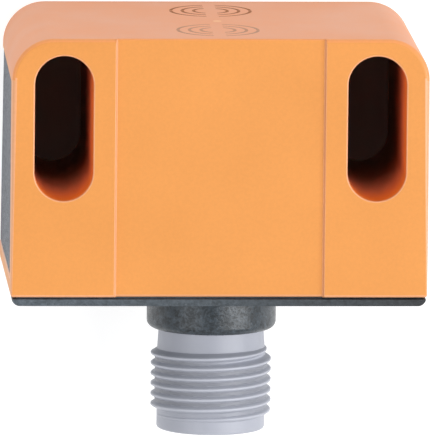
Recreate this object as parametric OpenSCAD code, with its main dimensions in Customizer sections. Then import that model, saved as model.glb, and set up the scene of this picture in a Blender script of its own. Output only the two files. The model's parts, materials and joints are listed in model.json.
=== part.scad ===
// Dual inductive sensor for a valve actuator. An orange cover and a dark rear housing hold two
// coils behind the sensing face, and an M12 plug connector leaves through a collar in the base plate.
// The sensor lies on its rear face: X is its width, +Y is the way that the sensing face looks,
// -Y is the way that the connector points, and Z runs from the rear face at 0 to the front face.
// Heights are distances from the sensing face, towards the connector.

/* [Housing] */
// Width across both mounting slots
housing_w = 40; // [40:0.5:44]
// Depth from the rear face to the front face
housing_d = 26; // [26:0.5:30]
// Height of the orange cover, from the sensing face to the base plate
cover_h = 25; // [25:0.5:30]
// Radius of the two corners at the sensing face
corner_r = 4; // [3.5:0.1:4.5]
// Thickness of the front wall
front_t = 2.5; // [2:0.1:2.6]
// Thickness of the wall behind the sensing face
roof_t = 1.5; // [1.2:0.1:1.6]
// Thickness of the cover's side skirts and rims
skirt_t = 1.2; // [1:0.1:1.4]
// Height of the side skirts below the sensing face
skirt_h = 4.6; // [4.2:0.1:5]
// Height of the side rims above the base plate
rim_h = 1.6; // [1.2:0.1:2]
// Thickness of the rear housing's back wall
back_t = 1.8; // [1.5:0.1:1.8]
// Thickness of the rear housing's side panels
panel_t = 0.8; // [0.6:0.05:0.85]
// How far dark plastic stands back from orange plastic
inset = 0.1; // [0.05:0.01:0.15]

/* [Front recess] */
// Width of the shallow panel between the slots
recess_w = 20; // [16:0.5:20]
// Depth of the shallow panel
recess_t = 0.3; // [0.2:0.05:0.6]
// Width of the slope on each side of the panel
recess_slope = 0.15; // [0.1:0.05:0.3]

/* [Mounting slots] */
// Distance between the two slots' centre lines
slot_pitch = 30; // [29.8:0.1:30.2]
// Width of each slot
slot_w = 5.6; // [5.2:0.1:5.6]
// Length of each slot, end to end
slot_l = 14; // [12:0.5:14]
// Height of the slots' centres
slot_h = 8.65; // [8.5:0.05:9]
// Wall thickness of the sleeve around each slot
sleeve_t = 1.2; // [1:0.1:1.2]

/* [Base plate and collar] */
// Thickness of the base plate
base_t = 0.85; // [0.8:0.05:1.2]
// Radius of the base plate's outer edge
base_edge_r = 0.8; // [0.4:0.1:0.8]
// Diameter of the collar
collar_dia = 12.5; // [12.4:0.05:13]
// Length of the collar beyond the base plate
collar_l = 4.05; // [3.5:0.05:4.1]
// Rounding of the collar's outer edge
collar_edge_r = 0.7; // [0.3:0.1:0.7]

/* [M12 connector] */
// Height of the connector's tip
tip_h = 39.75; // [39.5:0.05:41]
// Diameter of the neck, where it leaves the collar
neck_dia = 10.2; // [10.1:0.05:10.3]
// Outer diameter of the thread
thread_dia = 11.8; // [11.8:0.02:11.96]
// Pitch of the thread
thread_pitch = 1; // [1:1]
// Diameter of the plain guide beyond the thread
guide_dia = 10.44; // [10.2:0.02:10.5]
// Diameter of the socket that takes the mating plug
socket_dia = 8.5; // [8.3:0.05:8.6]
// Depth of the socket
socket_l = 8.25; // [8:0.05:8.5]
// Diameter of each contact pin's free end
pin_dia = 1; // [0.9:0.05:1]
// Diameter of the circle that the four pins stand on
pin_circle_dia = 5; // [4.8:0.1:5.2]

/* [Sensing elements] */
// Depth positions of the two sensing axes, from the rear face
coil_z = [6.7, 19.7];
// Outer diameter of each ferrite core
core_dia = 6.8; // [6.4:0.1:6.8]
// Height of each ferrite core
core_h = 3.2; // [3:0.1:3.4]

/* [Hidden] */
SIDES = [-1, 1];
FINE = 96;
SMALL = 48;
past = 1; // how far a cutting shape runs past the face that it cuts
gap = 0.05; // clearance between pieces that are assembled into each other
sense_y = tip_h / 2;
axis_z = housing_d / 2;
base_h = cover_h + base_t;
window_h = cover_h - rim_h - skirt_h;
inner_w = housing_w - 2 * skirt_t;
inner_r = corner_r - skirt_t;
front_z = housing_d - front_t;
sleeve_w = slot_w + 2 * sleeve_t;
sleeve_l = slot_l + 2 * sleeve_t;
bore_dia = neck_dia + 2 * gap;

// connector: heights of its steps and the form of its thread
flange_dia = 13.2;
flange_h = 23.4;
flange_t = 1;
neck_end_h = 31;
flare_h = 31.8;
flare_dia = 10.46;
thread_root_dia = 10.9;
crest_w = 0.16;
crest_count = 6;
first_crest_h = 32.4;
guide_h = 38.3;
socket_h = tip_h - socket_l;
carrier_t = 4;
carrier_dia = socket_dia - 2 * gap;
key_w = 0.9;
key_t = 0.45;
carrier_h = socket_h - carrier_t;
pin_body_dia = pin_dia + 0.4;
pin_tail_dia = pin_dia - 0.4;
pin_back_h = 21.45;
pin_end_h = tip_h - 1.15;
pin_point = 0.25;

// electronics: boards, and the frame that holds the ferrite cores
board_t = 1;
main_board_w = 20;
main_board_h = [7.6, 21.4];
contact_board_h = 21.5;
contact_board_size = [14, 12];
board_front_z = axis_z + board_t / 2;
board_rear_z = axis_z - board_t / 2;
holder_w = 11;
holder_t = 1;
core_top_h = roof_t + gap;
core_base_h = core_top_h + core_h;
core_wall = 0.65;
core_floor = 0.9;
post_dia = 2.2;
notch_w = 1;
wire_t = 0.25;
wire_bend_h = 6.9;
wire_gap = 0.45;
chip_t = 0.9;
led_size = [1.6, 0.7, 0.8];
led_r = 5.4;

// y = 0 at the sensing face, so a height h lies at y = -h
module from_sensing_face() {
    translate([0, sense_y, 0]) children();
}

// the connector's axis: z is the height, and y points to the front face
module on_axis() {
    translate([0, sense_y, axis_z]) rotate([90, 0, 0]) children();
}

// a flat outline that hangs from y = 0 and has its two upper corners rounded
module hanging_outline(w, h, r) {
    translate([-w / 2, -h]) square([w, h - r]);
    translate([r - w / 2, -h]) square([w - 2 * r, h]);
    for (side = SIDES)
        translate([side * (w / 2 - r), -r]) circle(r, $fn = FINE);
}

module obround(w, l) {
    square([w, l - w], center = true);
    for (end = SIDES)
        translate([0, end * (l - w) / 2]) circle(d = w, $fn = FINE);
}

module at_slots() {
    for (side = SIDES)
        translate([side * slot_pitch / 2, -slot_h, 0]) children();
}

// a ring of square section around a rectangle, with its walls inside the rectangle
module frame_outline(w, h, wall) {
    difference() {
        square([w, h], center = true);
        square([w - 2 * wall, h - 2 * wall], center = true);
    }
}

module ring(d_out, d_in, h) {
    rotate_extrude($fn = FINE)
        translate([d_in / 2, 0]) square([(d_out - d_in) / 2, h]);
}

module cover_body() {
    difference() {
        linear_extrude(housing_d) hanging_outline(housing_w, cover_h, corner_r);
        translate([0, -roof_t, -past])
            linear_extrude(front_z + past)
                hanging_outline(inner_w, cover_h - roof_t + past, inner_r);
        translate([-housing_w / 2 - past, -skirt_h - window_h, -past])
            cube([housing_w + 2 * past, window_h, front_z + past]);
    }
    at_slots() linear_extrude(housing_d) obround(sleeve_w, sleeve_l);
}

// the slopes run on to twice the panel's depth, so that the cut is clean at the front face
module recess_cutter() {
    floor_x = (recess_w - recess_slope) / 2;
    rim_x = floor_x + 2 * recess_slope;
    floor_z = housing_d - recess_t;
    rim_z = housing_d + recess_t;
    translate([0, past, 0])
        rotate([90, 0, 0])
            linear_extrude(cover_h + 2 * past)
                polygon([[-floor_x, floor_z], [floor_x, floor_z], [rim_x, rim_z], [-rim_x, rim_z]]);
}

module front_cover() {
    color("sandybrown")
        from_sensing_face()
            difference() {
                cover_body();
                at_slots() translate([0, 0, -past])
                    linear_extrude(housing_d + 2 * past) obround(slot_w, slot_l);
                recess_cutter();
            }
}

module rear_housing() {
    panel_x = housing_w / 2 - inset;
    color("dimgray")
        from_sensing_face()
            difference() {
                union() {
                    translate([0, -roof_t - gap, 0])
                        linear_extrude(back_t)
                            hanging_outline(inner_w - 2 * gap, cover_h - roof_t - gap, inner_r - gap);
                    translate([-panel_x, -skirt_h - window_h, 0])
                        cube([2 * panel_x, window_h, back_t]);
                    for (x = [-panel_x, panel_x - panel_t])
                        translate([x, -skirt_h - window_h, 0]) cube([panel_t, window_h, front_z]);
                }
                at_slots() translate([0, 0, -past])
                    linear_extrude(back_t + 2 * past) obround(sleeve_w + 2 * gap, sleeve_l + 2 * gap);
            }
}

// the plate's edge as seen from the front: square above, rounded below
module base_outline() {
    w = housing_w - 2 * inset;
    r = base_edge_r;
    intersection() {
        translate([-w / 2, -base_t]) square([w, base_t]);
        union() {
            translate([-w / 2, r - base_t]) square([w, base_t]);
            translate([r - w / 2, -base_t]) square([w - 2 * r, base_t]);
            for (side = SIDES)
                translate([side * (w / 2 - r), r - base_t]) circle(r, $fn = SMALL);
        }
    }
}

module collar_outline() {
    r = collar_edge_r;
    square([collar_dia / 2, collar_l - r]);
    square([collar_dia / 2 - r, collar_l]);
    translate([collar_dia / 2 - r, collar_l - r]) circle(r, $fn = SMALL);
}

module base_plate() {
    spigot_h = rim_h - gap;
    spigot_w = inner_w - 2 * gap;
    spigot_d = front_z - back_t - 2 * gap;
    spigot_t = 1;
    color("dimgray")
        difference() {
            union() {
                translate([0, sense_y - cover_h, inset])
                    linear_extrude(housing_d - 2 * inset) base_outline();
                on_axis() translate([0, (back_t + front_z) / 2 - axis_z, cover_h - spigot_h])
                    linear_extrude(spigot_h) frame_outline(spigot_w, spigot_d, spigot_t);
            }
            on_axis() translate([0, 0, cover_h - past])
                cylinder(d = bore_dia, h = base_t + 2 * past, $fn = FINE);
        }
}

module connector_collar() {
    color("dimgray")
        on_axis() translate([0, 0, base_h])
            difference() {
                rotate_extrude($fn = FINE) collar_outline();
                translate([0, 0, -past]) cylinder(d = bore_dia, h = collar_l + 2 * past, $fn = FINE);
            }
}

// one thread crest, from root to root around height h, with a root as wide as the crest
function crest(h) = [
    [thread_root_dia / 2, h - (thread_pitch - crest_w) / 2],
    [thread_dia / 2, h - crest_w / 2],
    [thread_dia / 2, h + crest_w / 2],
    [thread_root_dia / 2, h + (thread_pitch - crest_w) / 2]
];

module shell_outline() {
    socket_r = socket_dia / 2;
    polygon(concat(
        [
            [socket_r, flange_h], [flange_dia / 2, flange_h],
            [flange_dia / 2, flange_h + flange_t], [neck_dia / 2, flange_h + flange_t],
            [neck_dia / 2, neck_end_h], [flare_dia / 2, flare_h],
            [thread_root_dia / 2, flare_h + crest_w / 2]
        ],
        [for (i = [0 : crest_count - 1]) each crest(first_crest_h + i * thread_pitch)],
        [[guide_dia / 2, guide_h], [guide_dia / 2, tip_h], [socket_r, tip_h]]
    ));
}

module connector_shell() {
    color("lightsteelblue")
        on_axis() {
            rotate_extrude($fn = FINE) shell_outline();
            translate([-key_w / 2, socket_dia / 2 - key_t, socket_h + gap])
                cube([key_w, key_t + (neck_dia - socket_dia) / 4, socket_l - past]);
        }
}

module at_pins() {
    for (i = [0 : 3])
        pin_place(i) children();
}

module pin_place(i) {
    rotate([0, 0, 45 + 90 * i]) translate([pin_circle_dia / 2, 0, 0]) children();
}

module contact_carrier() {
    color("black")
        on_axis()
            difference() {
                translate([0, 0, carrier_h]) cylinder(d = carrier_dia, h = carrier_t, $fn = FINE);
                at_pins() translate([0, 0, carrier_h - past])
                    cylinder(d = pin_body_dia + gap, h = carrier_t + 2 * past, $fn = SMALL);
            }
}

// a thin tail through the contact board, a thick body in the carrier, and the free end
module contact_pin(i) {
    color("gold")
        on_axis() pin_place(i) {
            translate([0, 0, pin_back_h])
                cylinder(d = pin_tail_dia, h = carrier_h - pin_back_h, $fn = SMALL);
            translate([0, 0, carrier_h])
                cylinder(d = pin_body_dia, h = carrier_t, $fn = SMALL);
            translate([0, 0, socket_h])
                cylinder(d = pin_dia, h = pin_end_h - pin_point - socket_h, $fn = SMALL);
            translate([0, 0, pin_end_h - pin_point])
                cylinder(d1 = pin_dia, d2 = pin_dia - 2 * pin_point, h = pin_point, $fn = SMALL);
        }
}

module connector_seal() {
    seal_r = (cover_h - flange_h - flange_t) / 2 - gap / 2;
    color("black")
        on_axis() translate([0, 0, (cover_h + flange_h + flange_t) / 2])
            rotate_extrude($fn = FINE)
                translate([(flange_dia + bore_dia) / 4, 0]) circle(seal_r, $fn = SMALL);
}

// places children on a coil's axis, with z as the height
module on_coil(i) {
    translate([0, sense_y, coil_z[i]]) rotate([90, 0, 0]) children();
}

// the way out for a coil's wires, on the side that faces the main board
module notch_cutter(i, from_h, length) {
    toward = i == 0 ? 0 : 180;
    rotate([0, 0, toward])
        translate([-notch_w / 2, post_dia / 2 + 0.3, from_h]) cube([notch_w, core_dia, length]);
}

module coil_holder() {
    depth = front_z - back_t - 2 * gap;
    color("gray")
        difference() {
            translate([-holder_w / 2, sense_y - core_base_h - gap - holder_t, back_t + gap])
                cube([holder_w, core_h + 2 * gap + holder_t - gap, depth]);
            for (i = [0, 1])
                on_coil(i) {
                    translate([0, 0, roof_t - past])
                        cylinder(d = core_dia + 2 * gap, h = core_h + 2 * gap + past, $fn = FINE);
                    notch_cutter(i, core_base_h - past, 3 * past);
                }
        }
}

module ferrite_core(i) {
    color("darkslategray")
        on_coil(i)
            difference() {
                translate([0, 0, core_top_h]) cylinder(d = core_dia, h = core_h, $fn = FINE);
                translate([0, 0, core_top_h - past])
                    ring(core_dia - 2 * core_wall, post_dia, core_h - core_floor + past);
                notch_cutter(i, core_top_h - past, core_h + 2 * past);
            }
}

module bobbin(i) {
    hub_dia = post_dia + 4 * gap;
    cheek_t = 0.3;
    room = core_h - core_floor - 2 * gap;
    color("ivory")
        on_coil(i) translate([0, 0, core_top_h + gap])
            rotate_extrude($fn = FINE)
                difference() {
                    translate([post_dia / 2 + gap, 0])
                        square([(core_dia - post_dia) / 2 - core_wall - 2 * gap, room]);
                    translate([hub_dia / 2 + 0.2, cheek_t]) square([core_dia, room - 2 * cheek_t]);
                }
}

module winding(i) {
    inner_dia = post_dia + 4 * gap + 0.4;
    outer_dia = core_dia - 2 * core_wall - 4 * gap;
    color("peru")
        on_coil(i) translate([0, 0, core_top_h + 0.4])
            ring(outer_dia, inner_dia + 2 * gap, core_h - core_floor - 0.8);
}

// two wires that leave a core through its notch and bend over to the main board
module coil_leads(i) {
    inward = i == 0 ? 1 : -1;
    start_z = coil_z[i] + inward * (post_dia / 2 + 0.7);
    board_z = i == 0 ? board_rear_z - wire_t : board_front_z;
    low_z = min(start_z, board_z);
    color("peru")
        from_sensing_face()
            for (x = [-wire_gap, wire_gap - wire_t]) {
                translate([x, -wire_bend_h, start_z])
                    cube([wire_t, wire_bend_h - core_base_h + 2 * gap, wire_t]);
                translate([x, -wire_bend_h, low_z])
                    cube([wire_t, wire_t, abs(board_z - start_z) + wire_t]);
                translate([x, -main_board_h[0] - 1, board_z])
                    cube([wire_t, main_board_h[0] + 1 + wire_t - wire_bend_h, wire_t]);
            }
}

module main_board() {
    color("seagreen")
        from_sensing_face()
            translate([-main_board_w / 2, -main_board_h[1], board_rear_z])
                cube([main_board_w, main_board_h[1] - main_board_h[0], board_t]);
}

module contact_board() {
    color("seagreen")
        on_axis()
            difference() {
                translate([0, 0, contact_board_h])
                    linear_extrude(board_t) square(contact_board_size, center = true);
                at_pins() translate([0, 0, contact_board_h - past])
                    cylinder(d = pin_tail_dia + gap, h = board_t + 2 * past, $fn = SMALL);
            }
}

// a component that lies on the main board: its centre's x and height, and its size across, along and out
module on_board(x, h, size, front = true) {
    z = front ? board_front_z : board_rear_z - size[2];
    from_sensing_face()
        translate([x - size[0] / 2, -h - size[1] / 2, z]) cube(size);
}

// a packaged chip: its moulded body and two rows of short legs
module chip(x, h, body, legs, front) {
    leg = [0.35, 0.8, 0.2];
    on_board(x, h, body, front);
    for (i = [0 : legs - 1], end = SIDES)
        on_board(x + (i - (legs - 1) / 2) * 0.95, h + end * (body[1] / 2 + leg[1] / 2 - gap), leg, front);
}

module sensor_chip(front) {
    color("darkslategray") chip(0, 12, [4.4, 3.6, chip_t], 4, front);
}

module output_stage(front) {
    color("darkslategray") chip(-5.8, 17, [2.9, 1.6, chip_t], 3, front);
}

module protection_diode() {
    color("darkslategray") on_board(6, 18.6, [4, 2.4, 1], true);
}

module supply_capacitors() {
    color("tan")
        for (x = [4.6, 7.6])
            on_board(x, 14, [1.6, 3.2, 1.3], true);
}

module resistors() {
    color("black")
        for (i = [0 : 3], front = [true, false])
            on_board(-8 + 1.7 * (i % 2), 10 + 2 * floor(i / 2), [1.25, 0.8, 0.45], front);
}

// a lamp on the contact board that shines down into the pale connector shell
module led(turn) {
    color("khaki")
        on_axis()
            rotate([0, 0, turn])
                translate([led_r - led_size[0] / 2, -led_size[1] / 2, contact_board_h + board_t])
                    cube(led_size);
}

module potting_resin() {
    wide = slot_pitch - sleeve_w - 4 * gap;
    from_h = main_board_h[0];
    long = main_board_h[1] - from_h;
    color("darkolivegreen")
        from_sensing_face() {
            translate([-wide / 2, -from_h - long, back_t + gap])
                cube([wide, long, board_rear_z - back_t - 2 * chip_t]);
            translate([-wide / 2, -from_h - long, board_front_z + 2 * chip_t])
                cube([wide, long, front_z - gap - board_front_z - 2 * chip_t]);
        }
}

front_cover();
rear_housing();
base_plate();
connector_collar();
connector_shell();
contact_carrier();
contact_pin(0);  // contact_pin_1
contact_pin(1);  // contact_pin_2
contact_pin(2);  // contact_pin_3
contact_pin(3);  // contact_pin_4
connector_seal();
coil_holder();
ferrite_core(0);  // ferrite_core_rear
ferrite_core(1);  // ferrite_core_front
bobbin(0);  // bobbin_rear
bobbin(1);  // bobbin_front
winding(0);  // winding_rear
winding(1);  // winding_front
coil_leads(0);  // coil_leads_rear
coil_leads(1);  // coil_leads_front
main_board();
contact_board();
sensor_chip(false);  // sensor_chip_rear
sensor_chip(true);  // sensor_chip_front
output_stage(false);  // output_stage_rear
output_stage(true);  // output_stage_front
protection_diode();
supply_capacitors();
resistors();
led(180);  // led_switch_rear
led(0);  // led_switch_front
led(90);  // led_power
potting_resin();
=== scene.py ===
import json
import math

import bmesh
import bpy
from mathutils import Matrix, Vector


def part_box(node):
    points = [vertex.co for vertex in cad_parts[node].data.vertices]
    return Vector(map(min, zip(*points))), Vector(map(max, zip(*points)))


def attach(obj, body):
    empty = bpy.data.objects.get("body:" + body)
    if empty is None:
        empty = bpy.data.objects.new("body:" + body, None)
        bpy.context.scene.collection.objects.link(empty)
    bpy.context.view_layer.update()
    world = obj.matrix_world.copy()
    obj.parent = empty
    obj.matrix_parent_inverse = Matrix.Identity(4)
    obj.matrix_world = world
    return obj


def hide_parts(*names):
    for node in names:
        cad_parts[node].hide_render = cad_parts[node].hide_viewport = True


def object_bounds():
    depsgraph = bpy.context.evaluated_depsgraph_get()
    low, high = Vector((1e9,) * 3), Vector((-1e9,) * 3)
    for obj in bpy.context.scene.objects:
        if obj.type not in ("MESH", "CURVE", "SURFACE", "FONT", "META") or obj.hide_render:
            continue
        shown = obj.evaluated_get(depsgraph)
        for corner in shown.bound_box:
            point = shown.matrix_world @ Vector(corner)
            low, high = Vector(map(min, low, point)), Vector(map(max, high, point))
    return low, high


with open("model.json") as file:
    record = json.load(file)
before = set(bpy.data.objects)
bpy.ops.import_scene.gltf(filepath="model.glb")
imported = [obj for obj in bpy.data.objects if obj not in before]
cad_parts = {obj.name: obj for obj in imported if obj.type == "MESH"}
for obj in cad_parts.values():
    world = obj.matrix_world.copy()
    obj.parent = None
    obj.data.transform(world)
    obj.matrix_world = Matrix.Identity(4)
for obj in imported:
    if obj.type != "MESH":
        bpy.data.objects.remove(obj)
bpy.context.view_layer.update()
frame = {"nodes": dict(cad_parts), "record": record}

MM = 0.001
low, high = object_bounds()
record = frame["record"]
mounts = {m["name"]: m for m in record["mounts"]}

# the object's main planes and sizes, in millimetres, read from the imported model
HALF_W = high.x / MM
SENSE_Y = high.y / MM
TIP_Y = low.y / MM
FRONT_Z = high.z / MM
AXIS_Z = mounts["connector_thread"]["pos_m"][2] / MM
COVER_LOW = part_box("front_cover")[0] / MM
COVER_H = SENSE_Y - COVER_LOW.y
PLATE_LOW, PLATE_HIGH = (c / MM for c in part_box("base_plate"))
COLLAR_LOW, COLLAR_HIGH = (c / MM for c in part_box("connector_collar"))
slots = [mounts[n] for n in ("mounting_slot_left", "mounting_slot_right")]
SLOT_CENTRES = [(slot["pos_m"][0] / MM, slot["pos_m"][1] / MM) for slot in slots]
SLOT_R = slots[0]["dims"]["hole_r_mm"]
SLOT_L = slots[0]["dims"]["slot_length_mm"]

# clearance between pieces that are assembled into each other, and how far a cutter runs past
# what it cuts, in millimetres
GAP = 0.05
PAST = 1.0
# a point this close to a plane or an outline, in millimetres, lies on it
TOUCH = 0.05
# a face is a wall where its normal's share of Z is under the first, and level where it is over the
# second
WALL, LEVEL = 0.1, 0.9

# shape of the cover and the housing, in millimetres
CORNER_R = 4.0
SKIRT_T = 1.2
ROOF_T = 1.5
FRONT_T = 2.5
SKIRT_H = 4.6
RIM_H = 1.6
SLEEVE_T = 1.2
RECESS_HALF = 10.0
RECESS_T = 0.3
RECESS_SLOPE = 0.15
BACK_T = 1.8
BASE_T = 0.85
COLLAR_EDGE_R = 0.7
BORE_R = 5.15

# rounding of the cover's edges, in millimetres: where the front turns into the sensing face,
# along the rest of the outside, along the slots and the front's sides, and along the recess
TURN_R = 0.48
OUTSIDE_R = 0.24
FINE_R = 0.144
RECESS_R = 0.0432

# shape of the connector, in millimetres: radii, and heights from the sensing face
NECK_R = 5.06
NECK_END = 29.6
FLARE_R = 5.2
FLARE_H = 31.9
GUIDE_R = 5.22
ROOT_R = 5.42
THREAD_R = 5.82
FIRST_CREST = 32.22
SOCKET_R = 4.25
# where the crest, the groove before it and the groove beyond it rise and run out, in turns
CREST_TURNS = ((-0.4, 0.05), (5.65, 6.3))
ROOT_TURNS = ((0.9, 1.1), (5.6, 6.2))
ROOT_BEYOND_TURNS = ((-0.1, 0.1), (4.6, 5.3))

# the sensing marks, in millimetres: the rings' radii, half the gap that splits them, and half a
# ring's line width at the top and bottom and at the two sides
MARK_RADII = (3.85, 2.75, 1.65)
MARK_HALF_GAP = 0.6
MARK_HALF_LINE = (0.06, 0.15)


# ---------------------------------------------------------------- mesh helpers

def new_object(name, mesh):
    obj = bpy.data.objects.new(name, mesh)
    bpy.context.scene.collection.objects.link(obj)
    return obj


def solid(name, bm):
    """Turns closed faces into an object, with every face looking outwards."""
    bmesh.ops.recalc_face_normals(bm, faces=bm.faces)
    mesh = bpy.data.meshes.new(name)
    bm.to_mesh(mesh)
    bm.free()
    return new_object(name, mesh)


def arc(cx, cy, r, start, end, steps):
    """Points on a circle from start to end degrees, both ends included."""
    return [
        (cx + r * math.cos(math.radians(start + (end - start) * i / steps)),
         cy + r * math.sin(math.radians(start + (end - start) * i / steps)))
        for i in range(steps + 1)
    ]


def prism(name, outline, z0, z1):
    """A solid with an XY outline between two Z planes, in millimetres."""
    bm = bmesh.new()
    face = bm.faces.new([bm.verts.new((x, y, z0)) for x, y in outline])
    swept = bmesh.ops.extrude_face_region(bm, geom=[face])
    for v in swept["geom"]:
        if isinstance(v, bmesh.types.BMVert):
            v.co.z = z1
    return solid(name, bm)


def block(name, lo, hi):
    (x0, y0, z0), (x1, y1, z1) = lo, hi
    return prism(name, [(x0, y0), (x1, y0), (x1, y1), (x0, y1)], z0, z1)


def apply_modifiers(obj):
    deps = bpy.context.evaluated_depsgraph_get()
    mesh = bpy.data.meshes.new_from_object(obj.evaluated_get(deps))
    obj.modifiers.clear()
    old = obj.data
    obj.data = mesh
    mesh.name = old.name
    bpy.data.meshes.remove(old)


def combine(target, other, operation):
    mod = target.modifiers.new("combine", "BOOLEAN")
    mod.operation = operation
    mod.solver = "EXACT"
    mod.object = other
    apply_modifiers(target)
    mesh = other.data
    bpy.data.objects.remove(other)
    bpy.data.meshes.remove(mesh)


def clean(obj):
    """Joins coplanar faces, so that a bevel runs along real edges only."""
    same_point, same_plane = 1e-4, math.radians(0.3)
    bm = bmesh.new()
    bm.from_mesh(obj.data)
    bmesh.ops.remove_doubles(bm, verts=bm.verts, dist=same_point)
    bmesh.ops.dissolve_limit(bm, angle_limit=same_plane, verts=bm.verts, edges=bm.edges)
    bm.to_mesh(obj.data)
    bm.free()


def soften(obj, width, segments, weight_of=None, edge_material=-1):
    """Rounds the sharp edges: width in mm, scaled by weight_of(edge middle)."""
    sharp = math.radians(30)
    bm = bmesh.new()
    bm.from_mesh(obj.data)
    layer = bm.edges.layers.float.new("bevel_weight_edge")
    for edge in bm.edges:
        if len(edge.link_faces) != 2 or edge.calc_face_angle(0) < sharp:
            continue
        middle = (edge.verts[0].co + edge.verts[1].co) / 2
        edge[layer] = weight_of(middle) if weight_of else 1.0
    bm.to_mesh(obj.data)
    bm.free()
    mod = obj.modifiers.new("round", "BEVEL")
    mod.limit_method = "WEIGHT"
    mod.width = width
    mod.segments = segments
    mod.use_clamp_overlap = False
    mod.harden_normals = True
    mod.material = edge_material
    for poly in obj.data.polygons:
        poly.use_smooth = True
    apply_modifiers(obj)


def to_metres(obj):
    obj.data.transform(Matrix.Scale(MM, 4))
    obj.data.update()


def about_axis(bm, a, r, h):
    """A vertex at an angle round the connector's axis; heights run from the sensing face."""
    return bm.verts.new((r * math.sin(a), SENSE_Y - h, AXIS_Z + r * math.cos(a)))


def join_columns(bm, columns):
    """Faces between closed profiles that stand side by side round an axis."""
    for i, one in enumerate(columns):
        two = columns[(i + 1) % len(columns)]
        for j in range(len(one)):
            k = (j + 1) % len(one)
            bm.faces.new((one[j], one[k], two[k], two[j]))


def lathe(name, profile, steps=128):
    """Turns a closed profile of (radius, height) points round the connector's axis."""
    bm = bmesh.new()
    join_columns(bm, [
        [about_axis(bm, 2 * math.pi * i / steps, r, h) for r, h in profile]
        for i in range(steps)
    ])
    return solid(name, bm)


def smooth_by_angle(obj, degrees):
    """Smooth shading that stays sharp over edges steeper than the angle."""
    for poly in obj.data.polygons:
        poly.use_smooth = True
    bm = bmesh.new()
    bm.from_mesh(obj.data)
    for edge in bm.edges:
        edge.smooth = edge.calc_face_angle(0) < math.radians(degrees)
    bm.to_mesh(obj.data)
    bm.free()


# ---------------------------------------------------------------- materials

class Nodes:
    """Short forms for building one material's node tree."""

    def __init__(self, name):
        self.material = bpy.data.materials.new(name)
        self.material.use_nodes = True
        self.tree = self.material.node_tree
        self.tree.nodes.clear()
        self.out = self.add("ShaderNodeOutputMaterial")
        self.shader = self.add("ShaderNodeBsdfPrincipled")
        self.link(self.shader.outputs["BSDF"], self.out.inputs["Surface"])
        self.coords = self.add("ShaderNodeTexCoord").outputs["Object"]

    def add(self, kind, **settings):
        node = self.tree.nodes.new(kind)
        for key, value in settings.items():
            setattr(node, key, value)
        return node

    def link(self, a, b):
        self.tree.links.new(a, b)

    def noise(self, size, detail=2.0, roughness=0.5, stretch=None):
        """A noise whose features are about size millimetres across."""
        vector = self.coords
        if stretch:
            mapping = self.add("ShaderNodeMapping")
            mapping.inputs["Scale"].default_value = stretch
            self.link(vector, mapping.inputs["Vector"])
            vector = mapping.outputs["Vector"]
        node = self.add("ShaderNodeTexNoise")
        node.inputs["Scale"].default_value = 1 / (size * MM)
        node.inputs["Detail"].default_value = detail
        node.inputs["Roughness"].default_value = roughness
        self.link(vector, node.inputs["Vector"])
        return node.outputs["Fac"]

    def cells(self, size, feature="F1"):
        node = self.add("ShaderNodeTexVoronoi", feature=feature)
        node.inputs["Scale"].default_value = 1 / (size * MM)
        self.link(self.coords, node.inputs["Vector"])
        return node.outputs["Distance"]

    def ramp(self, value, stops):
        node = self.add("ShaderNodeValToRGB")
        elements = node.color_ramp.elements
        while len(elements) < len(stops):
            elements.new(0.5)
        for element, (position, colour) in zip(elements, stops):
            element.position = position
            element.color = (*colour, 1)
        self.link(value, node.inputs["Fac"])
        return node.outputs["Color"]

    def spread(self, value, low_value, high_value, start=0.3, end=0.7):
        node = self.add("ShaderNodeMapRange")
        node.inputs["From Min"].default_value = start
        node.inputs["From Max"].default_value = end
        node.inputs["To Min"].default_value = low_value
        node.inputs["To Max"].default_value = high_value
        self.link(value, node.inputs["Value"])
        return node.outputs["Result"]

    def mix(self, factor, one, two, mode="MIX"):
        """Mixes two colours; the node keeps its colours at inputs 6 and 7 and at output 2."""
        node = self.add("ShaderNodeMix", data_type="RGBA", blend_type=mode)
        if isinstance(factor, float):
            node.inputs[0].default_value = factor
        else:
            self.link(factor, node.inputs[0])
        for socket, value in ((node.inputs[6], one), (node.inputs[7], two)):
            if isinstance(value, tuple):
                socket.default_value = (*value, 1)
            else:
                self.link(value, socket)
        return node.outputs[2]

    def total(self, one, two, share=1.0):
        node = self.add("ShaderNodeMath", operation="MULTIPLY_ADD")
        self.link(two, node.inputs[0])
        node.inputs[1].default_value = share
        self.link(one, node.inputs[2])
        return node.outputs["Value"]

    def bump(self, height, depth):
        """A bump whose full height is depth millimetres."""
        node = self.add("ShaderNodeBump")
        node.inputs["Distance"].default_value = depth * MM
        node.inputs["Strength"].default_value = 1.0
        self.link(height, node.inputs["Height"])
        self.link(node.outputs["Normal"], self.shader.inputs["Normal"])

    def colour(self, socket):
        self.link(socket, self.shader.inputs["Base Color"])

    def rough(self, socket):
        self.link(socket, self.shader.inputs["Roughness"])

    def fixed(self, **values):
        for key, value in values.items():
            self.shader.inputs[key.replace("_", " ")].default_value = value


def shade(colour, factor):
    return tuple(c * factor for c in colour)


def moulded(name, colour, grain=0.25, grain_depth=0.004, rough=(0.42, 0.52), spots=0.05, level=0.5):
    """Moulded plastic: slow colour drift, fine grain and a gloss a little uneven from use."""
    n = Nodes(name)
    drift = n.noise(9, 3)
    fine = n.noise(grain, 3, 0.6)
    slow = n.ramp(drift, [(0.3, shade(colour, 1 - spots)), (0.7, shade(colour, 1 + spots))])
    specks = n.ramp(fine, [(0.35, (0.96, 0.96, 0.96)), (0.65, (1, 1, 1))])
    n.colour(n.mix(1.0, slow, specks, "MULTIPLY"))
    n.rough(n.spread(n.total(drift, fine, 0.5), *rough, 0.5, 1.0))
    n.bump(fine, grain_depth)
    n.fixed(Specular_IOR_Level=level)
    return n.material


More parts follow.
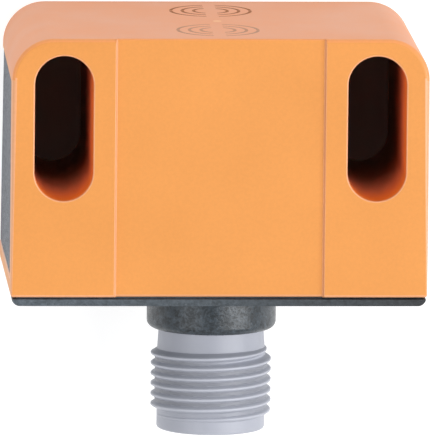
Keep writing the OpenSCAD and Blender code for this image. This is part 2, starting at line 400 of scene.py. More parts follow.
def thread_lit_and_shaded(name, colour):
    """Pale plastic with painted light on its thread: a painted highlight on the crests and painted
    shade in the grooves, in patches.
    """
    n = Nodes(name)
    drift = n.noise(7, 3)
    fine = n.noise(0.2, 3, 0.6)
    slow = n.ramp(drift, [(0.3, shade(colour, 0.98)), (0.7, shade(colour, 1.02))])
    # the painted light on the thread, read from the mesh: lighter on the crests, darker in the grooves
    thread_crest_groove_light = n.add("ShaderNodeAttribute", attribute_name="thread_crest_groove_light").outputs["Fac"]
    patchy = n.total(thread_crest_groove_light, n.noise(1.2, 3), 0.25)
    tone = n.ramp(n.spread(patchy, 0.0, 1.0, -0.875, 1.125), [
        (0.0, (0.60, 0.60, 0.595)), (0.5, (1, 1, 1)), (1.0, (1.2, 1.2, 1.18))])
    n.colour(n.mix(1.0, slow, tone, "MULTIPLY"))
    n.rough(n.spread(fine, 0.42, 0.5))
    n.bump(fine, 0.002)
    return n.material


def bore_lit_by_depth(name, lip, deep, end):
    """Moulded plastic with painted light along a bore: saturated at its mouth, then paler and lighter
    further in.
    """
    n = Nodes(name)
    axes = n.add("ShaderNodeSeparateXYZ")
    n.link(n.coords, axes.inputs[0])
    fine = n.noise(0.4, 3, 0.6)
    depth = n.total(axes.outputs["Z"], n.noise(2.5, 3), 1.5 * MM)
    bore_depth_light = n.spread(depth, 0.0, 1.0, FRONT_Z * MM * 0.25, FRONT_Z * MM)
    # painted light by depth along the bore
    n.colour(n.ramp(bore_depth_light, [(0.12, end), (0.24, deep), (0.95, lip)]))
    n.rough(n.spread(fine, 0.46, 0.58))
    n.bump(fine, 0.004)
    return n.material


def grained(name, dark, light, grain=0.2, depth=0.06, rough=(0.36, 0.6), level=0.5,
            contrast=(0.62, 1.0), painted_light=None):
    """Dark plastic from a spark-eroded mould: dark pits and lighter peaks.

    Where the last argument is given, light and shade are painted along X: it is how much lighter the
    plastic is at the left end and at the right end.
    """
    n = Nodes(name)
    fine = n.noise(grain, 4, 0.65)
    pits = n.noise(grain * 3.1, 2, 0.5)
    height = n.total(fine, pits, 0.6)
    drift = n.noise(5, 2)
    body = n.ramp(height, [(contrast[0], dark), (contrast[1], light)])
    skin = n.mix(n.spread(drift, 0.0, 0.35), body, light)
    # painted light and shade along X, from the left end to the right end
    if painted_light:
        axes = n.add("ShaderNodeSeparateXYZ")
        n.link(n.coords, axes.inputs[0])
        across = n.total(axes.outputs["X"], drift, 8 * MM)
        end_light_gain = n.spread(across, *painted_light, -16 * MM, 24 * MM)
        tint = n.add("ShaderNodeCombineColor")
        for i in range(3):
            n.link(end_light_gain, tint.inputs[i])
        skin = n.mix(1.0, skin, tint.outputs[0], "MULTIPLY")
    n.colour(skin)
    n.rough(n.spread(height, rough[1], rough[0], 0.6, 1.0))
    n.bump(height, depth)
    n.fixed(Specular_IOR_Level=level)
    return n.material


def metal(name, colour, rough, scratch=0.15):
    n = Nodes(name)
    tone = n.noise(0.6, 3)
    lines = n.noise(scratch, 2, 0.5, stretch=(1, 0.12, 1))
    n.colour(n.ramp(tone, [(0.3, shade(colour, 0.88)), (0.7, colour)]))
    n.rough(n.spread(lines, rough, rough + 0.15))
    n.bump(lines, 0.002)
    n.fixed(Metallic=1.0)
    return n.material


def rubber(name, colour):
    n = Nodes(name)
    dust = n.noise(0.5, 4, 0.6)
    n.colour(n.ramp(dust, [(0.35, colour), (0.75, shade(colour, 1.8))]))
    n.rough(n.spread(dust, 0.55, 0.75))
    n.bump(n.noise(0.08, 2), 0.004)
    return n.material


def ceramic(name, colour):
    n = Nodes(name)
    sinter = n.cells(0.12)
    n.colour(n.ramp(sinter, [(0.1, shade(colour, 0.8)), (0.7, shade(colour, 1.25))]))
    n.rough(n.spread(n.noise(0.4, 3), 0.45, 0.65))
    n.bump(sinter, 0.006)
    return n.material


def wound_wire(name, colour):
    n = Nodes(name)
    turns = n.add("ShaderNodeTexWave", wave_type="BANDS", bands_direction="Y")
    turns.inputs["Scale"].default_value = 1 / (0.35 * MM)
    turns.inputs["Distortion"].default_value = 0.4
    n.link(n.coords, turns.inputs["Vector"])
    n.colour(n.ramp(turns.outputs["Fac"], [(0.1, shade(colour, 0.35)), (0.6, colour)]))
    n.rough(n.spread(n.noise(0.3), 0.25, 0.4))
    n.bump(turns.outputs["Fac"], 0.04)
    n.fixed(Metallic=0.85, Coat_Weight=0.4)
    return n.material


def board(name, colour):
    n = Nodes(name)
    weave = n.noise(0.3, 2, 0.5, stretch=(1, 0.2, 1))
    cross = n.noise(0.3, 2, 0.5, stretch=(0.2, 1, 1))
    cloth = n.total(weave, cross)
    tracks = n.cells(1.6, "DISTANCE_TO_EDGE")
    mask = n.ramp(cloth, [(0.6, shade(colour, 0.75)), (1.2, colour)])
    n.colour(n.mix(n.spread(tracks, 0.5, 0.0, 0.04, 0.07), mask, shade(colour, 1.9)))
    n.rough(n.spread(cloth, 0.3, 0.45, 0.8, 1.2))
    n.bump(cloth, 0.006)
    return n.material


def potted(name, colour):
    n = Nodes(name)
    cloud = n.noise(3, 4, 0.6)
    bubbles = n.cells(0.9)
    n.colour(n.ramp(cloud, [(0.3, shade(colour, 0.75)), (0.7, shade(colour, 1.2))]))
    n.rough(n.spread(cloud, 0.15, 0.35))
    n.bump(n.ramp(bubbles, [(0.05, (0, 0, 0)), (0.2, (1, 1, 1))]), 0.02)
    n.fixed(Coat_Weight=0.3)
    return n.material


# colours, as linear red, green and blue
ORANGE = (0.71, 0.275, 0.056)
# the sensing face's orange: a darker, redder copy of ORANGE, painted shade
FACE_SHADED = (0.69, 0.230, 0.062)
# a lighter copy of ORANGE for the middle of the rounding between the front and the sensing face:
# painted light
TURN_LIT = (0.77, 0.29, 0.085)
# a lighter, paler copy of ORANGE for the slots' lips and the recess's slopes: a painted highlight
EDGE_HIGHLIGHT = (0.76, 0.35, 0.165)
# painted light along the slots' bores: saturated orange at the mouth, paler and lighter further in
BORE_LIP_LIT = (0.95, 0.26, 0.035)
BORE_DEEP_LIT = (0.93, 0.56, 0.42)
BORE_END_LIT = (0.95, 0.62, 0.48)
GATE = (0.76, 0.35, 0.13)
DARK = (0.018, 0.024, 0.029)
DARK_LIGHT = (0.048, 0.061, 0.074)
# the side panels' dark plastic: a lighter, bluer copy of DARK and DARK_LIGHT, painted light and painted
# sheen
SIDE_SHEEN_DARK = (0.018, 0.025, 0.035)
SIDE_SHEEN_LIGHT = (0.06, 0.077, 0.11)
BLACK = (0.012, 0.012, 0.013)
PALE = (0.37, 0.384, 0.443)

cover_plastic = moulded("cover_plastic_orange", ORANGE, grain=0.3, grain_depth=0.003, spots=0.025)
housing_plastic = grained("housing_plastic_grained", SIDE_SHEEN_DARK, SIDE_SHEEN_LIGHT)
# the base plate: painted light at its left end, painted shade at its right end
base_plastic_lit_ends = grained("base_plastic_grained", DARK, DARK_LIGHT, painted_light=(1.95, 0.36))
# the collar: a darker copy of the dark plastic with lighter peaks, painted shade, and glossier
collar_plastic_shaded = grained("collar_plastic_grained", shade(DARK, 0.7), shade(DARK_LIGHT, 1.2), grain=0.24,
                         depth=0.03, rough=(0.22, 0.42), level=0.46, contrast=(0.7, 0.95))
# the painted highlight on the cover's rounded lips and the recess's slopes, a little glossier as well
cover_edge_highlight = moulded("cover_plastic_highlight_edge", EDGE_HIGHLIGHT, grain=0.3, grain_depth=0.002,
                     rough=(0.34, 0.44), spots=0.03)
# the sensing face: painted shade in its colour, and a little glossier
cover_face_glossy_shaded = moulded("cover_plastic_glossy_shaded_face", FACE_SHADED, grain=0.3, grain_depth=0.002,
                     rough=(0.38, 0.48), spots=0.03)
# the rounding between the front and the sensing face: painted light
cover_turn_lit = moulded("cover_plastic_lit_soft_edge", TURN_LIT, grain=0.3, grain_depth=0.002,
                     rough=(0.4, 0.5), spots=0.03)
slot_bore_lit = bore_lit_by_depth("cover_plastic_slot_bore", BORE_LIP_LIT, BORE_DEEP_LIT, BORE_END_LIT)
connector_plastic = thread_lit_and_shaded("connector_plastic_pale", PALE)
carrier_plastic = moulded("carrier_plastic_black", BLACK, spots=0.15)
gate_plastic = moulded("cover_plastic_gate", GATE, grain=0.2, spots=0.04)
# the sensing marks: flat brown without gloss, painted shade for engraved grooves; the front mark's
# brown is paler
mark_rear_groove_shade = moulded("mark_groove_shade_brown", (0.34, 0.15, 0.075), grain=0.15, spots=0.1, level=0.0)
mark_front_groove_shade = moulded("mark_groove_shade_pale", (0.47, 0.28, 0.19), grain=0.15, spots=0.1, level=0.0)

# the look of each of the record's material slots
SLOT_LOOKS = {
    "contact_metal": metal("contact_metal_gold", (0.86, 0.62, 0.25), 0.18),
    "seal_rubber": rubber("seal_rubber_black", BLACK),
    "ferrite": ceramic("ferrite_sintered", (0.05, 0.05, 0.055)),
    "bobbin_plastic": moulded("bobbin_plastic_ivory", (0.62, 0.56, 0.44), grain=0.15),
    "copper_wire": wound_wire("copper_wire_enamelled", (0.72, 0.28, 0.10)),
    "board_laminate": board("board_laminate_green", (0.02, 0.14, 0.06)),
    "component_body": moulded("component_body_black", (0.02, 0.02, 0.022), grain=0.1, spots=0.1),
    "capacitor_body": moulded("capacitor_body_tan", (0.42, 0.27, 0.12), grain=0.1, spots=0.08),
    "lamp_body": moulded("lamp_body_clear", (0.75, 0.68, 0.35), rough=(0.1, 0.2)),
    "resin": potted("resin_cured", (0.045, 0.05, 0.03)),
    "carrier_plastic": carrier_plastic,
    "housing_plastic": housing_plastic,
    "cover_plastic": cover_plastic,
    "connector_plastic": connector_plastic,
}


def give(obj, material):
    """Sets the first material and leaves the faces' material numbers as they are."""
    if obj.data.materials:
        obj.data.materials[0] = material
    else:
        obj.data.materials.append(material)


def place(obj, material, slot, *nodes):
    """Finishes a piece: metres, material, body, and the CAD nodes that it stands for."""
    to_metres(obj)
    give(obj, material)
    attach(obj, "root")
    if nodes:
        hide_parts(*nodes)


# every CAD node that stays gets its slot's material
slot_of = {entry["node"]: entry["material_slot"] for entry in record["subparts"]}
for node_name, node_obj in frame["nodes"].items():
    material = SLOT_LOOKS[slot_of[node_name]]
    for i in range(max(1, len(node_obj.material_slots))):
        if node_obj.material_slots:
            node_obj.material_slots[i].material = material
        else:
            node_obj.data.materials.append(material)


# ---------------------------------------------------------------- front cover

def hanging_outline(half_w, top, bottom, r):
    """The cover's outline: round corners at the sensing face, square ones at the base plate."""
    return (
        [(-half_w, bottom), (half_w, bottom)]
        + arc(half_w - r, top - r, r, 0, 90, 24)
        + arc(r - half_w, top - r, r, 90, 180, 24)
    )


def obround(cx, cy, r, length):
    """A slot's outline, with its length along Y."""
    reach = length / 2 - r
    return arc(cx, cy + reach, r, 0, 180, 40) + arc(cx, cy - reach, r, 180, 360, 40)


def past_core(point):
    """How far a point lies from the cover's core, which is CORNER_R inside its outline."""
    return math.hypot(max(abs(point.x) - HALF_W + CORNER_R, 0),
                      max(point.y - SENSE_Y + CORNER_R, 0))


def lean_in(obj):
    """Draws the outer side walls in towards the rear, the more the nearer to the sensing face."""
    draft, skin, level_y, slope = 0.2, 0.35, -1.5, 8.0
    for vert in obj.data.vertices:
        x, y, z = vert.co
        if past_core(vert.co) < CORNER_R - skin:
            continue
        rise = min(1.0, max(0.0, (y - level_y) / slope))
        inset = draft * rise * (1 - z / FRONT_Z) * min(1.0, abs(x) / (HALF_W - CORNER_R))
        vert.co.x -= math.copysign(inset, x)


def by_slot(point, reach=TOUCH):
    """Whether a point lies in or within reach of a slot."""
    return any(abs(point.x - cx) < SLOT_R + reach and abs(point.y - cy) < SLOT_L / 2 + reach
               for cx, cy in SLOT_CENTRES)


def by_recess(point):
    """Whether a point lies on the slopes at the two sides of the front's recess."""
    reach = 0.5
    return point.z > FRONT_Z - RECESS_T - TOUCH and abs(abs(point.x) - RECESS_HALF) < reach


def by_sensing_face(poly):
    """Whether a face belongs to the sensing face or to the round corners beside it."""
    least_tilt = 0.02
    return poly.normal.y > least_tilt and poly.center.y > SENSE_Y - CORNER_R


def cut_recess(cover):
    """Lowers the front's middle; the slopes run on past the front, so that the cut is clean."""
    floor_x = RECESS_HALF - RECESS_SLOPE / 2
    rim_x = floor_x + 2 * RECESS_SLOPE
    panel = prism("panel", [
        (-floor_x, 0), (floor_x, 0), (rim_x, 2 * RECESS_T), (-rim_x, 2 * RECESS_T),
    ], COVER_LOW.y - PAST, SENSE_Y + PAST)
    # the outline is drawn with its depth along Y, then stood up so that its depth runs along Z
    stand_up = Matrix(((1, 0, 0, 0), (0, 0, 1, 0), (0, 1, 0, FRONT_Z - RECESS_T), (0, 0, 0, 1)))
    panel.data.transform(stand_up)
    panel.data.flip_normals()
    combine(cover, panel, "DIFFERENCE")


def cover_rounding(middle):
    """How much an edge of the cover is rounded, as a share of TURN_R."""
    at_front = middle.z > FRONT_Z - TOUCH
    if at_front and by_slot(middle):
        return FINE_R / TURN_R
    if by_recess(middle):
        return RECESS_R / TURN_R
    clear_of_slope = 1.0
    beside_recess = abs(middle.x) > RECESS_HALF + clear_of_slope
    if at_front and beside_recess and middle.y > SENSE_Y - CORNER_R - TOUCH:
        return 1.0
    if at_front and abs(middle.x) > HALF_W - TOUCH:
        return FINE_R / TURN_R
    if middle.z > FRONT_Z - RECESS_T - TOUCH or past_core(middle) > CORNER_R - TOUCH:
        return OUTSIDE_R / TURN_R
    return 0.0


def make_cover():
    cover = prism("front_cover_shell",
                  hanging_outline(HALF_W, SENSE_Y, COVER_LOW.y, CORNER_R), 0, FRONT_Z)
    wall_z = FRONT_Z - FRONT_T
    inside = hanging_outline(HALF_W - SKIRT_T, SENSE_Y - ROOF_T, COVER_LOW.y - PAST,
                             CORNER_R - SKIRT_T)
    combine(cover, prism("hollow", inside, -PAST, wall_z), "DIFFERENCE")
    window = block("window", (-HALF_W - PAST, COVER_LOW.y + RIM_H, -PAST),
                   (HALF_W + PAST, SENSE_Y - SKIRT_H, wall_z))
    combine(cover, window, "DIFFERENCE")
    for cx, cy in SLOT_CENTRES:
        sleeve = prism("sleeve", obround(cx, cy, SLOT_R + SLEEVE_T, SLOT_L + 2 * SLEEVE_T),
                       0, wall_z + FRONT_T / 2)
        combine(cover, sleeve, "UNION")
    for cx, cy in SLOT_CENTRES:
        hole = prism("hole", obround(cx, cy, SLOT_R, SLOT_L), -PAST, FRONT_Z + PAST)
        combine(cover, hole, "DIFFERENCE")
    cut_recess(cover)
    clean(cover)

    # the materials' numbers on the cover, in the order in which they are added
    plain, painted_light, bore, sensing_face_shade, turn_lit_faces = range(5)
    for material in (cover_plastic, cover_edge_highlight, slot_bore_lit, cover_face_glossy_shaded, cover_turn_lit):
        cover.data.materials.append(material)
    # the faces' materials: painted light in the slots' bores, the painted highlight on the recess's
    # slopes, painted shade on the sensing face
    for poly in cover.data.polygons:
        upright = abs(poly.normal.z)
        if upright < WALL and by_slot(poly.center):
            poly.material_index = bore
        elif WALL < upright < LEVEL and by_recess(poly.center):
            poly.material_index = painted_light
        elif by_sensing_face(poly):
            poly.material_index = sensing_face_shade
    # the rounded edges get the painted highlight as they are made
    soften(cover, TURN_R, 4, cover_rounding, edge_material=painted_light)
    # the edge between the front and the sensing face doesn't keep the painted highlight, but the slots'
    # lips do
    lip_reach = 0.4
    for poly in cover.data.polygons:
        by_lip = by_slot(poly.center, lip_reach)
        if poly.material_index == painted_light and by_sensing_face(poly) and not by_lip:
            # where that edge turns, it gets the painted light
            poly.material_index = plain if poly.normal.z > LEVEL else turn_lit_faces
    lean_in(cover)
    place(cover, cover_plastic, "cover_plastic", "front_cover")


# ---------------------------------------------------------------- rear housing and base plate

def make_rear_housing():
    """The CAD housing's own shape, with its side panels drawn in like the cover's walls."""
    mesh = frame["nodes"]["rear_housing"].data.copy()
    mesh.name = "rear_housing_grained"
    mesh.transform(Matrix.Scale(1 / MM, 4))
    for poly in mesh.polygons:
        poly.use_smooth = False
    housing = new_object("rear_housing_grained", mesh)
    lean_in(housing)
    place(housing, housing_plastic, "housing_plastic", "rear_housing")


def plate_outline(half_w, top_y, base_y, edge_r):
    """The base plate's outline from the front: square above, rounded below."""
    return (
        [(half_w, top_y), (-half_w, top_y)]
        + arc(edge_r - half_w, base_y + edge_r, edge_r, 180, 270, 10)
        + arc(half_w - edge_r, base_y + edge_r, edge_r, 270, 360, 10)
    )


def cut_joint(plate):
    """The joint with the cover: a groove all round the plate, in its shadow."""
    joint_t, joint_depth = 0.18, 0.5
    joint_y, above = COVER_LOW.y - joint_t, COVER_LOW.y + PAST
    side, behind, before = HALF_W + PAST, -PAST, FRONT_Z + PAST
    for lo, hi in (
        ((-side, joint_y, PLATE_HIGH.z - joint_depth), (side, above, before)),
        ((-side, joint_y, behind), (side, above, PLATE_LOW.z + joint_depth)),
        ((PLATE_HIGH.x - joint_depth, joint_y, behind), (side, above, before)),
        ((-side, joint_y, behind), (joint_depth - PLATE_HIGH.x, above, before)),
    ):
        combine(plate, block("joint", lo, hi), "DIFFERENCE")


def make_base_plate():
    edge_r, spigot_t, rounding = 0.8, 1.0, 0.06
    outline = plate_outline(PLATE_HIGH.x, COVER_LOW.y, COVER_LOW.y - BASE_T, edge_r)
    plate = prism("base_plate_grained", outline, PLATE_LOW.z, PLATE_HIGH.z)
    cut_joint(plate)
    # a frame on the plate centres it in the cover
    spigot_x = HALF_W - SKIRT_T - GAP
    spigot_z = (BACK_T + GAP, FRONT_Z - FRONT_T - GAP)
    spigot = block("spigot", (-spigot_x, COVER_LOW.y - BASE_T / 2, spigot_z[0]),
                   (spigot_x, PLATE_HIGH.y, spigot_z[1]))
    tray = block("tray", (spigot_t - spigot_x, COVER_LOW.y, spigot_z[0] + spigot_t),
                 (spigot_x - spigot_t, PLATE_HIGH.y + PAST, spigot_z[1] - spigot_t))
    combine(plate, spigot, "UNION")
    combine(plate, tray, "DIFFERENCE")
    near_axis, bore_start, bore_end = 0.001, 20, 30
    bore = lathe("bore", [(near_axis, bore_start), (BORE_R, bore_start),
                          (BORE_R, bore_end), (near_axis, bore_end)])
    combine(plate, bore, "DIFFERENCE")
    clean(plate)
    soften(plate, rounding, 2)
    place(plate, base_plastic_lit_ends, "housing_plastic", "base_plate")


def make_collar():
    outer_r = COLLAR_HIGH.x
    start_h, end_h = SENSE_Y - COLLAR_HIGH.y, SENSE_Y - COLLAR_LOW.y
    foot, inner_r = 0.1, 0.15
    profile = (
        [(BORE_R, start_h), (outer_r, start_h), (outer_r, start_h + foot)]
        + arc(outer_r - COLLAR_EDGE_R, end_h - COLLAR_EDGE_R, COLLAR_EDGE_R, 0, 90, 10)
        + arc(BORE_R + inner_r, end_h - inner_r, inner_r, 90, 180, 4)
    )
    collar = lathe("connector_collar_grained", profile)
    smooth_by_angle(collar, 40)
    place(collar, collar_plastic_shaded, "housing_plastic", "connector_collar")


# ---------------------------------------------------------------- connector

def step(value, start, end):
    """A smooth rise from 0 to 1."""
    t = min(1.0, max(0.0, (value - start) / (end - start)))
    return t * t * (3 - 2 * t)


def stretch(along, turns):
    """1 between the thread's start and its run-out, and 0 before and after."""
    (rise_start, rise_end), (fall_start, fall_end) = turns
    return step(along, rise_start, rise_end) * (1 - step(along, fall_start, fall_end))


def thread_at(base, d, crest, root, root_beyond):
    """Radius and painted light near one turn: d is the distance from its crest towards the tip.

    crest and the two roots, before and beyond it, say how far each stands up, from 0 to 1.
    The painted light is 1 for the painted highlight on a crest, 0 on plain wall and -1 for the painted
    shade in a groove.
    """
    flat, rounding, flank, root_above, root_below = 0.09, 0.015, 1.55, 0.45, 0.8
    far = abs(d)
    peak = GUIDE_R + crest * (THREAD_R - GUIDE_R)
    drop = rounding * min(1.0, far / flat) ** 2 + flank * max(0.0, far - flat)
    radius, thread_crest_groove_light = base, 0.0
    floor = root if d < 0 else root_beyond
    if floor > 0 and -root_above < d < root_below:
        raised = GUIDE_R + floor * (ROOT_R - GUIDE_R) * (1 - step(d, root_below - 0.1, root_below))
        if raised > radius:
            radius, thread_crest_groove_light = raised, -floor
    if crest > 0.02 and peak - drop > radius:
        radius = peak - drop
        thread_crest_groove_light = crest * (1.15 * (1 - step(far, flat, flat + 0.14)) - 0.15)
    return radius, thread_crest_groove_light


def shell_point(turn, h):
    """Radius and painted light of the shell: turn is the angle from the front, in turns towards +X."""
    if h <= FLARE_H:
        base = NECK_R + (FLARE_R - NECK_R) * max(0.0, (h - NECK_END) / (FLARE_H - NECK_END))
    else:
        settle = 0.5
        base = GUIDE_R + (FLARE_R - GUIDE_R) * (1 - step(h, FLARE_H, FLARE_H + settle))
    nearest = round(h - FIRST_CREST + turn)
    best = (base, 0.0)
    for k in (nearest - 1, nearest, nearest + 1):
        along = k - turn
        crest = stretch(along, CREST_TURNS)
        root = stretch(along, ROOT_TURNS)
        root_beyond = stretch(along, ROOT_BEYOND_TURNS)
        if crest > 0 or root_beyond > 0:
            best = max(best, thread_at(base, h - FIRST_CREST - along, crest, root, root_beyond))
    return best


def make_connector():
    tip_h = SENSE_Y - TIP_Y
    edge_r, lip_r = 0.22, 0.15
    flange_h, flange_t, flange_r = 23.4, 1.0, 6.6
    # heights of the rows of points: a few up the neck, then close ones over the thread
    heights = [flange_h + flange_t, 27.0, NECK_END, 31.0, 31.3]
    rows_end, row = 38.9, 0.04
    while heights[-1] < rows_end:
        heights.append(heights[-1] + row)
    steps = 180
    bm = bmesh.new()
    # each point's painted light: a painted highlight on the crests, painted shade in the grooves
    thread_light_layer = bm.verts.layers.float.new("thread_crest_groove_light")
    columns = []
    for i in range(steps):
        turn = i / steps - 0.5
        outside = [(flange_r, flange_h, 0.0), (flange_r, flange_h + flange_t, 0.0)]
        for h in heights:
            r, thread_crest_groove_light = shell_point(turn, h)
            outside.append((r, h, thread_crest_groove_light))
        tip = [(GUIDE_R, tip_h - edge_r)]
        tip += arc(GUIDE_R - edge_r, tip_h - edge_r, edge_r, 15, 90, 5)
        tip += arc(SOCKET_R + lip_r, tip_h - lip_r, lip_r, 90, 180, 4)
        tip += [(SOCKET_R, flange_h)]
        column = []
        for r, h, thread_crest_groove_light in outside + [(r, h, 0.0) for r, h in tip]:
            vert = about_axis(bm, 2 * math.pi * turn, r, h)
            vert[thread_light_layer] = thread_crest_groove_light
            column.append(vert)
        columns.append(column)
    join_columns(bm, columns)
    shell = solid("connector_shell_threaded", bm)
    smooth_by_angle(shell, 50)
    place(shell, connector_plastic, "connector_plastic", "connector_shell")


# ---------------------------------------------------------------- sensing marks

def add_mark_line(bm, radius, start, end, centre_z):
    """One arc of a mark, from start to end degrees, a little proud of the sensing face."""
    lift, depth, steps = 0.008, 0.03, 24
    thin, thick = MARK_HALF_LINE
    outer, inner = [], []
    for i in range(steps + 1):
        a = math.radians(start + (end - start) * i / steps)
        half_line = thin + (thick - thin) * abs(math.cos(a))
        outer.append(((radius + half_line) * math.cos(a), (radius + half_line) * math.sin(a)))
        inner.append(((radius - half_line) * math.cos(a), (radius - half_line) * math.sin(a)))
    top, low_ring = [], []
    for x, z in outer + inner[::-1]:
        top.append(bm.verts.new((x, SENSE_Y + lift, centre_z + z)))
        low_ring.append(bm.verts.new((x, SENSE_Y - depth, centre_z + z)))
    n = len(top)
    for i in range(steps):
        bm.faces.new((top[i], top[i + 1], top[n - 2 - i], top[n - 1 - i]))
        bm.faces.new((low_ring[n - 1 - i], low_ring[n - 2 - i], low_ring[i + 1], low_ring[i]))
    for i in range(n):
        k = (i + 1) % n
        bm.faces.new((top[i], low_ring[i], low_ring[k], top[k]))


def make_mark(name, centre_z, mark_shade_colour):
    """Rings in flat brown without gloss, painted shade for engraved grooves; each split by a gap along
    Z and a small gap at its two ends.
    """
    bm = bmesh.new()
    for radius in MARK_RADII:
        gap = math.degrees(math.asin(MARK_HALF_GAP / radius))
        side = 4 if radius == min(MARK_RADII) else 2.5
        for start, end in ((side, 90 - gap), (90 + gap, 180 - side),
                           (180 + side, 270 - gap), (270 + gap, 360 - side)):
            add_mark_line(bm, radius, start, end, centre_z)
    place(solid(name, bm), mark_shade_colour, "cover_plastic")


def make_gate_mark():
    """The small witness that the mould's gate leaves between the two marks."""
    radius, edge, crater_r = 0.42, 0.05, 0.15
    lift, crater, depth = 0.01, 0.004, 0.03
    gate_x, gate_z, longer = 0.25, AXIS_Z + 0.7, 1.5
    points = 32
    bm = bmesh.new()
    rings = [
        [bm.verts.new((gate_x + x, SENSE_Y + y, gate_z + longer * z))
         for x, z in arc(0, 0, r, 0, 360 - 360 / points, points - 1)]
        for r, y in ((radius, -depth), (radius, 0.0), (radius - edge, lift),
                     (crater_r, lift - crater))
    ]
    for low_ring, high_ring in zip(rings, rings[1:]):
        for i in range(points):
            k = (i + 1) % points
            bm.faces.new((low_ring[i], low_ring[k], high_ring[k], high_ring[i]))
    bm.faces.new(rings[0])
    bm.faces.new(rings[-1])
    place(solid("gate_mark", bm), gate_plastic, "cover_plastic")


make_cover()
make_rear_housing()
make_base_plate()
make_collar()
make_connector()
for side_name, mark_shade_colour in (("rear", mark_rear_groove_shade), ("front", mark_front_groove_shade)):
    core_low, core_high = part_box("ferrite_core_" + side_name)
    make_mark("sensing_mark_" + side_name, (core_low.z + core_high.z) / 2 / MM, mark_shade_colour)
make_gate_mark()


# ---------------------------------------------------------------- floor, light and camera

# the floor's grey in the open and in the painted shadow under the housing, its glow, its half width in
# metres, and how far inside the housing's outline the painted shadow ends and fades, in millimetres
FLOOR_WHITE = 0.45
FLOOR_SHADOW_GREY = 0.38
FLOOR_GLOW = 0.7
FLOOR_HALF = 2.0
PATCH_MARGIN = 0.6
PATCH_FADE = 0.5
# the sky's grey at the horizon and at the zenith, by the sine of the elevation
SKY = ((0.93, 0.56), (0.985, 0.12))
# azimuth and elevation in degrees, size in metres, power in watts
LIGHTS = (
    ("key_right", 95, 38, (0.5, 0.5), 4.2),
    ("top_right", 95, 63, (0.4, 0.3), 2.2),
    ("fill_left", 262, 50, (0.6, 0.6), 2.0),
    ("back_top", 0, 38, (0.7, 0.4), 1.1),
    ("front_low", 180, 38, (0.7, 0.4), 0.5),
)
LIGHT_DISTANCE = 0.9
# the camera's place round the object and its roll in degrees, its distance in metres, its lens in
# millimetres, and the point it looks at: a height, then shifts to the right and up in millimetres
CAMERA_AZIMUTH, CAMERA_ELEVATION, CAMERA_ROLL = 3.31, 8.92, 0.56
CAMERA_DISTANCE = 1.4
CAMERA_LENS = 1193.6
AIM_Y, AIM_RIGHT, AIM_UP = -0.125, 0.28, 0.63


def make_floor():
    """A white glowing floor with a painted shadow under the housing, where its glow is off and its grey
    darker.
    """
    bm = bmesh.new()
    bmesh.ops.create_grid(bm, x_segments=8, y_segments=8, size=FLOOR_HALF)
    mesh = bpy.data.meshes.new("floor")
    bm.to_mesh(mesh)
    bm.free()
    floor = new_object("floor", mesh)
    # just under the housing, so that the two surfaces don't coincide
    floor.location.z = -0.02 * MM
    n = Nodes("floor_table")
    centre = Vector((0, (SENSE_Y + COVER_LOW.y) / 2, 0)) * MM
    inner = Vector((HALF_W - CORNER_R, COVER_H / 2 - CORNER_R, 0)) * MM
    beyond = n.coords
    for operation, value in (("SUBTRACT", centre), ("ABSOLUTE", None), ("SUBTRACT", inner),
                             ("MAXIMUM", Vector((0, 0, 0)))):
        node = n.add("ShaderNodeVectorMath", operation=operation)
        n.link(beyond, node.inputs[0])
        if value is not None:
            node.inputs[1].default_value = value
        beyond = node.outputs["Vector"]
    away = n.add("ShaderNodeVectorMath", operation="LENGTH")
    n.link(beyond, away.inputs[0])
    patch_r = CORNER_R - PATCH_MARGIN
    # the painted shadow: 1 under the housing, fading to 0 a little inside its outline
    shadow_patch = n.spread(away.outputs["Value"], 1.0, 0.0, (patch_r - PATCH_FADE) * MM, patch_r * MM)
    n.colour(n.ramp(shadow_patch, [(0.0, (FLOOR_WHITE,) * 3), (1.0, (FLOOR_SHADOW_GREY,) * 3)]))
    n.link(n.ramp(shadow_patch, [(0.0, (1, 1, 1)), (1.0, (0, 0, 0))]), n.shader.inputs["Emission Color"])
    n.fixed(Emission_Strength=FLOOR_GLOW, Roughness=0.8)
    give(floor, n.material)


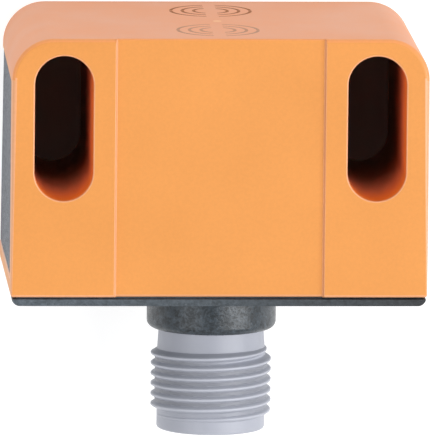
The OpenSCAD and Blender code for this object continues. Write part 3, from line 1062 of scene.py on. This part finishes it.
def soft_box(name, azimuth, elevation, size, power):
    """An area light that faces the object; azimuth 0 is the +Y side and 90 is the +X side."""
    light = bpy.data.lights.new(name, "AREA")
    light.shape = "RECTANGLE"
    light.size, light.size_y = size
    light.energy = power
    obj = new_object(name, light)
    a, e = math.radians(azimuth), math.radians(elevation)
    towards = Vector((math.sin(a) * math.cos(e), math.cos(a) * math.cos(e), math.sin(e)))
    obj.location = towards * LIGHT_DISTANCE
    obj.rotation_mode = "QUATERNION"
    obj.rotation_quaternion = towards.to_track_quat("Z", "Y")
    obj.visible_camera = False


def make_lights():
    """A dim sky overhead and a bright one low down, with soft boxes round the object."""
    world = bpy.data.worlds.new("studio")
    world.use_nodes = True
    tree = world.node_tree
    background = tree.nodes["Background"]
    coords = tree.nodes.new("ShaderNodeTexCoord")
    axes = tree.nodes.new("ShaderNodeSeparateXYZ")
    ramp = tree.nodes.new("ShaderNodeValToRGB")
    for element, (position, grey) in zip(ramp.color_ramp.elements, SKY):
        element.position = position
        element.color = (grey, grey, grey, 1)
    tree.links.new(coords.outputs["Generated"], axes.inputs[0])
    tree.links.new(axes.outputs["Z"], ramp.inputs["Fac"])
    tree.links.new(ramp.outputs["Color"], background.inputs["Color"])
    background.inputs["Strength"].default_value = 1.0
    bpy.context.scene.world = world
    for name, azimuth, elevation, size, power in LIGHTS:
        soft_box(name, azimuth, elevation, size, power)


def make_camera():
    """A long lens, almost square on to the front face, a little above and left of it."""
    azimuth, elevation = math.radians(CAMERA_AZIMUTH), math.radians(CAMERA_ELEVATION)
    roll = math.radians(CAMERA_ROLL)
    towards = Vector((-math.sin(azimuth) * math.cos(elevation), math.sin(elevation),
                      math.cos(azimuth) * math.cos(elevation)))
    right = (-towards).cross(Vector((0, 1, 0))).normalized()
    up = right.cross(-towards)
    right, up = (math.cos(roll) * right + math.sin(roll) * up,
                 math.cos(roll) * up - math.sin(roll) * right)
    aim = Vector((0, AIM_Y * MM, AXIS_Z * MM)) + right * AIM_RIGHT * MM + up * AIM_UP * MM
    data = bpy.data.cameras.new("camera")
    data.sensor_width = 36
    data.lens = CAMERA_LENS
    data.clip_start, data.clip_end = 0.1, 10
    camera = new_object("camera", data)
    camera.rotation_mode = "QUATERNION"
    turn = Matrix((right, up, towards)).transposed()
    camera.rotation_quaternion = turn.to_quaternion()
    camera.location = aim + towards * CAMERA_DISTANCE
    bpy.context.scene.camera = camera


make_floor()
make_lights()
make_camera()
bpy.context.scene.view_settings.view_transform = "Standard"

bpy.context.view_layer.update()
